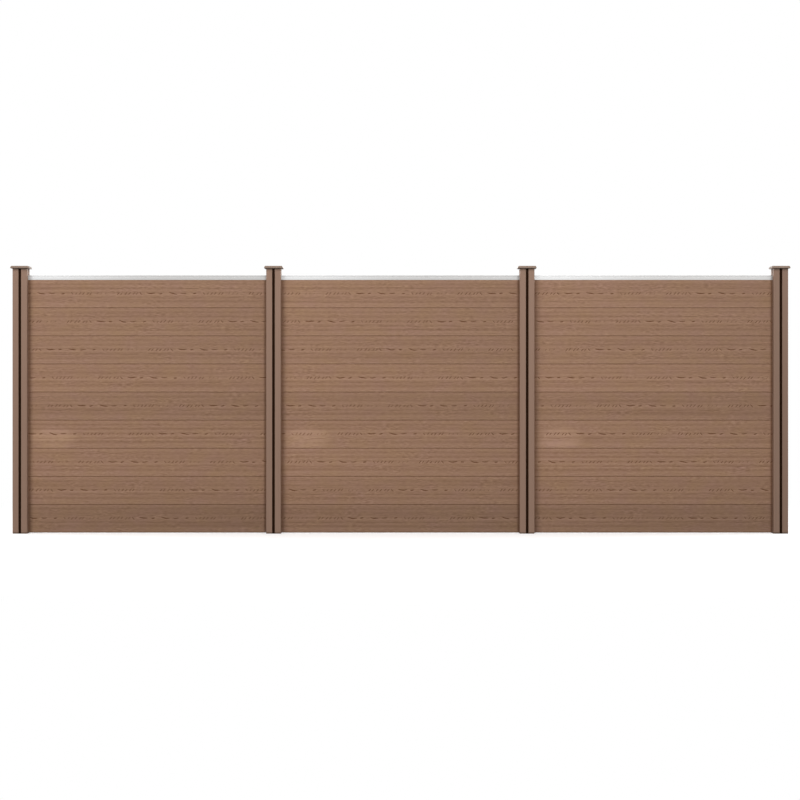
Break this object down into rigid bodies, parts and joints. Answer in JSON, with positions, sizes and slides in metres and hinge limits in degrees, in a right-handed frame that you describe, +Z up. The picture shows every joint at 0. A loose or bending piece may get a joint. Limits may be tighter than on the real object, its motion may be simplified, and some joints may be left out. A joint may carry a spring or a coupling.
{
  "type": "composite privacy fence",
  "caption": "Straight run of composite privacy fence: hollow tongue-and-groove boards slid into slotted square posts, with metal top rails and bevelled post caps.",
  "frame": {"origin": "on the ground at the middle of the run, half way through its thickness", "axes": "+X along the fence to the right as seen from the front, +Y from the front to the back, +Z up"},
  "size_m": [5.316, 0.126, 1.826],
  "materials": {
    "wpc_board": "brown wood-plastic composite with embossed grain along the board",
    "wpc_post": "brown wood-plastic composite, finely brushed along the post",
    "cap_moulding": "brown moulded plastic",
    "aluminium_rail": "satin anodised",
    "slot_strip": "black, matt",
    "slot_foot": "black, matt"
  },
  "bodies": {
    "root": {"post_1": "wpc_post", "post_cap_1": "cap_moulding", "slot_strip_1_front": "slot_strip", "slot_strip_1_back": "slot_strip", "post_2": "wpc_post", "post_cap_2": "cap_moulding", "slot_strip_2_front": "slot_strip", "slot_strip_2_back": "slot_strip", "post_3": "wpc_post", "post_cap_3": "cap_moulding", "slot_strip_3_front": "slot_strip", "slot_strip_3_back": "slot_strip", "post_4": "wpc_post", "post_cap_4": "cap_moulding", "slot_strip_4_front": "slot_strip", "slot_strip_4_back": "slot_strip", "slot_strip_left_end": "slot_strip", "slot_strip_right_end": "slot_strip", "bay_1_board_1": "wpc_board", "bay_1_board_2": "wpc_board", "bay_1_board_3": "wpc_board", "bay_1_board_4": "wpc_board", "bay_1_board_5": "wpc_board", "bay_1_board_6": "wpc_board", "bay_1_board_7": "wpc_board", "bay_1_board_8": "wpc_board", "bay_1_board_9": "wpc_board", "bay_1_top_rail": "aluminium_rail", "bay_1_foot_left": "slot_foot", "bay_1_foot_right": "slot_foot", "bay_2_board_1": "wpc_board", "bay_2_board_2": "wpc_board", "bay_2_board_3": "wpc_board", "bay_2_board_4": "wpc_board", "bay_2_board_5": "wpc_board", "bay_2_board_6": "wpc_board", "bay_2_board_7": "wpc_board", "bay_2_board_8": "wpc_board", "bay_2_board_9": "wpc_board", "bay_2_top_rail": "aluminium_rail", "bay_2_foot_left": "slot_foot", "bay_2_foot_right": "slot_foot", "bay_3_board_1": "wpc_board", "bay_3_board_2": "wpc_board", "bay_3_board_3": "wpc_board", "bay_3_board_4": "wpc_board", "bay_3_board_5": "wpc_board", "bay_3_board_6": "wpc_board", "bay_3_board_7": "wpc_board", "bay_3_board_8": "wpc_board", "bay_3_board_9": "wpc_board", "bay_3_top_rail": "aluminium_rail", "bay_3_foot_left": "slot_foot", "bay_3_foot_right": "slot_foot"}
  },
  "joints": []
}
